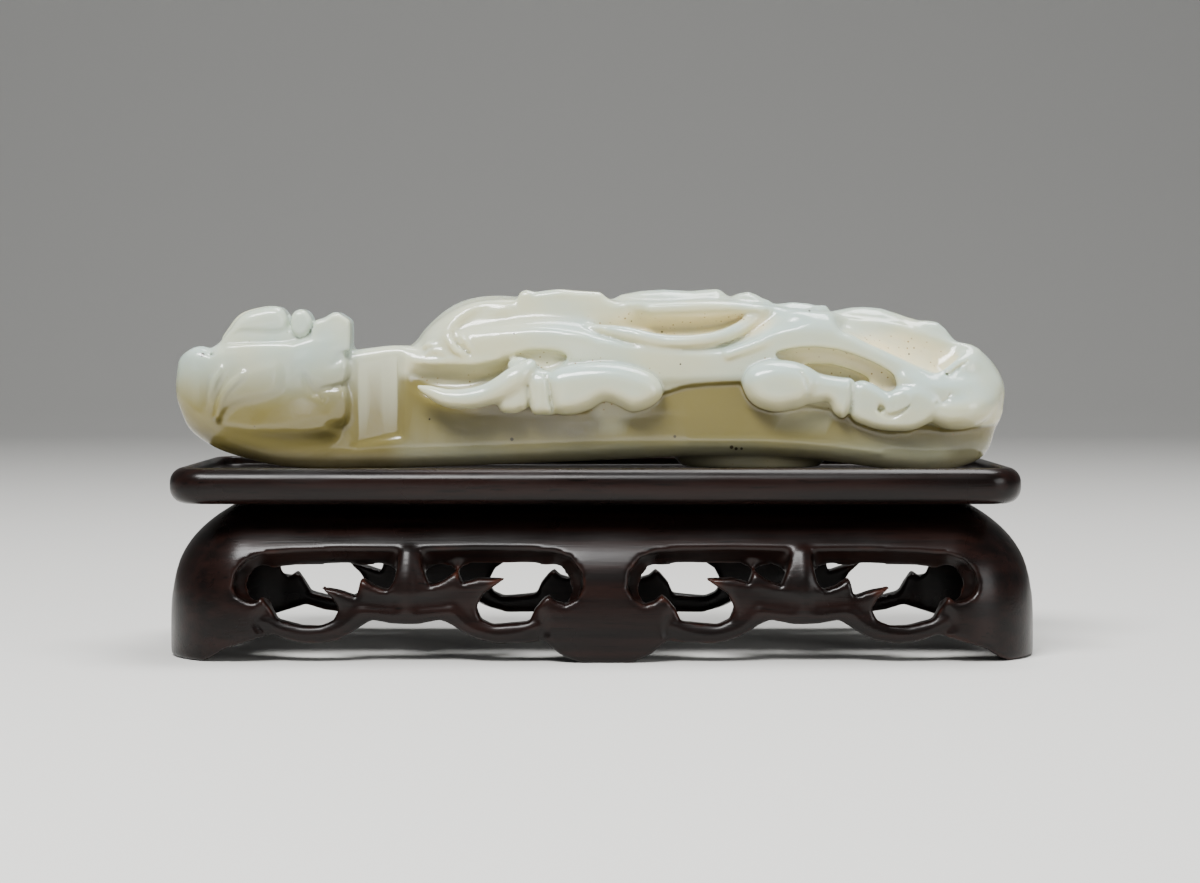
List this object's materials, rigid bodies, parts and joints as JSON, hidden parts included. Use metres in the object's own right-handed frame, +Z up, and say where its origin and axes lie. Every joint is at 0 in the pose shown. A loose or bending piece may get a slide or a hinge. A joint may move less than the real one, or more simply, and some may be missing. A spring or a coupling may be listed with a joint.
{
  "type": "belt hook on stand",
  "caption": "Carved belt hook with a dragon-head end, a crawling chilong in openwork and a button beneath, lying on its fitted openwork stand.",
  "frame": {"origin": "centre of the bounding box at the level of the stand's feet", "axes": "+X along the hook from its dragon head towards its heel, +Y away from the side seen in the picture, +Z up"},
  "size_m": [0.1124, 0.0412, 0.0474],
  "materials": {
    "nephrite": "polished, waxy",
    "hardwood": "satin, waxed"
  },
  "bodies": {
    "root": {"belt_hook": "nephrite", "carved_stand": "hardwood"}
  },
  "joints": []
}
